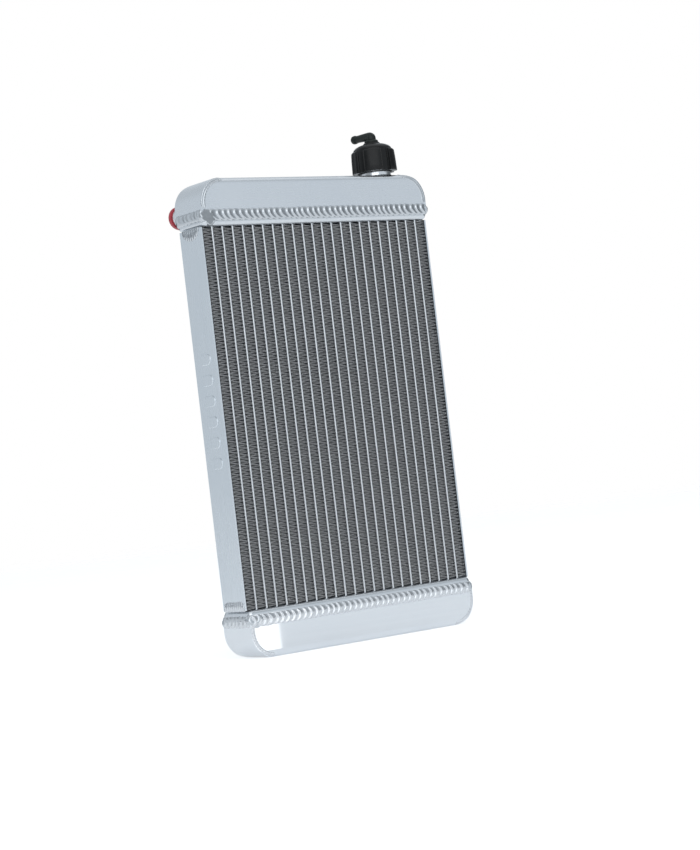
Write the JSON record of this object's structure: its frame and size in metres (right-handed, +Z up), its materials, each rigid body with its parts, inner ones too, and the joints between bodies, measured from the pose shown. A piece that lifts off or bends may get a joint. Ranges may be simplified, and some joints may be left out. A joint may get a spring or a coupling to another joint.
{
  "type": "car radiator",
  "caption": "Upright brazed aluminium radiator with welded end tanks, hose stubs with dust plugs, and a screw filler cap with a swivelling overflow elbow.",
  "frame": {"origin": "centre of the flat foot of the bottom tank", "axes": "+Z up along the tubes, +X towards the filler cap's end, -Y the front face that meets the air, +Y the side of the hose stubs and mounting bosses"},
  "size_m": [0.2366, 0.0687, 0.4325],
  "materials": {
    "sheet_aluminium": "satin mill finish",
    "turned_aluminium": "turned",
    "weld_aluminium": "as welded, rippled",
    "tube_aluminium": "brazed",
    "fin_aluminium": "dull brazed foil",
    "black_plastic": "moulded, slightly glossy",
    "black_rubber": "matt",
    "spring_steel": "drawn wire",
    "valve_brass": "pressed",
    "red_plastic": "soft vinyl"
  },
  "bodies": {
    "radiator": {"bottom_header_plate": "sheet_aluminium", "bottom_header_weld": "weld_aluminium", "bottom_tank_left_end": "sheet_aluminium", "bottom_tank_right_end": "sheet_aluminium", "bottom_tank_seam_welds": "weld_aluminium", "bottom_tank_shell": "sheet_aluminium", "coolant_tube_01": "tube_aluminium", "coolant_tube_02": "tube_aluminium", "coolant_tube_03": "tube_aluminium", "coolant_tube_04": "tube_aluminium", "coolant_tube_05": "tube_aluminium", "coolant_tube_06": "tube_aluminium", "coolant_tube_07": "tube_aluminium", "coolant_tube_08": "tube_aluminium", "coolant_tube_09": "tube_aluminium", "coolant_tube_10": "tube_aluminium", "coolant_tube_11": "tube_aluminium", "coolant_tube_12": "tube_aluminium", "coolant_tube_13": "tube_aluminium", "coolant_tube_14": "tube_aluminium", "coolant_tube_15": "tube_aluminium", "coolant_tube_16": "tube_aluminium", "coolant_tube_17": "tube_aluminium", "coolant_tube_18": "tube_aluminium", "coolant_tube_19": "tube_aluminium", "coolant_tube_20": "tube_aluminium", "coolant_tube_21": "tube_aluminium", "coolant_tube_22": "tube_aluminium", "cooling_fins": "fin_aluminium", "filler_neck": "turned_aluminium", "filler_neck_weld": "weld_aluminium", "inlet_stub": "turned_aluminium", "left_side_plate": "sheet_aluminium", "mounting_boss_welds": "weld_aluminium", "mounting_bosses": "turned_aluminium", "outlet_stub": "turned_aluminium", "right_side_plate": "sheet_aluminium", "side_plate_welds": "weld_aluminium", "stub_welds": "weld_aluminium", "top_header_plate": "sheet_aluminium", "top_header_weld": "weld_aluminium", "top_tank_left_end": "sheet_aluminium", "top_tank_right_end": "sheet_aluminium", "top_tank_seam_welds": "weld_aluminium", "top_tank_shell": "sheet_aluminium"},
    "cap_carrier": {"cap_insert": "black_plastic", "cap_seal": "black_rubber", "pressure_spring": "spring_steel"},
    "cap": {"cap_shell": "black_plastic"},
    "pressure_valve": {"valve_plate": "valve_brass", "valve_seal": "black_rubber", "vacuum_spring": "spring_steel"},
    "vacuum_valve": {"vacuum_valve": "valve_brass"},
    "elbow": {"overflow_elbow": "black_plastic", "elbow_o_ring": "black_rubber"},
    "inlet_plug": {"inlet_dust_plug": "red_plastic"},
    "outlet_plug": {"outlet_dust_plug": "red_plastic"}
  },
  "joints": [
    {"name": "cap_rise", "type": "slide", "parent": "radiator", "child": "cap_carrier", "axis": [0, 0, 1], "range_m": [0, 0.012]},
    {"name": "cap_turn", "type": "hinge", "parent": "cap_carrier", "child": "cap", "pos_m": [0.08, 0, 0.392], "axis": [0, 0, 1], "range_deg": [0, 1080]},
    {"name": "pressure_valve_lift", "type": "slide", "parent": "cap_carrier", "child": "pressure_valve", "axis": [0, 0, 1], "range_m": [0, 0.003], "stiffness_N_per_m": 400, "springref_m": -0.001, "deforming": ["pressure_spring"]},
    {"name": "vacuum_valve_drop", "type": "slide", "parent": "pressure_valve", "child": "vacuum_valve", "axis": [0, 0, -1], "range_m": [0, 0.0012], "stiffness_N_per_m": 30, "springref_m": -0.0005, "deforming": ["vacuum_spring"]},
    {"name": "elbow_swivel", "type": "hinge", "parent": "cap", "child": "elbow", "pos_m": [0.08, 0, 0.4235], "axis": [0, 0, 1], "continuous": true},
    {"name": "inlet_plug_pull", "type": "slide", "parent": "radiator", "child": "inlet_plug", "axis": [0, 1, 0], "range_m": [0, 0.06]},
    {"name": "outlet_plug_pull", "type": "slide", "parent": "radiator", "child": "outlet_plug", "axis": [0, 1, 0], "range_m": [0, 0.06]}
  ],
  "couplings": [
    {"joint": "cap_rise", "follows": "cap_turn", "m_per_rad": 0.000636}
  ]
}
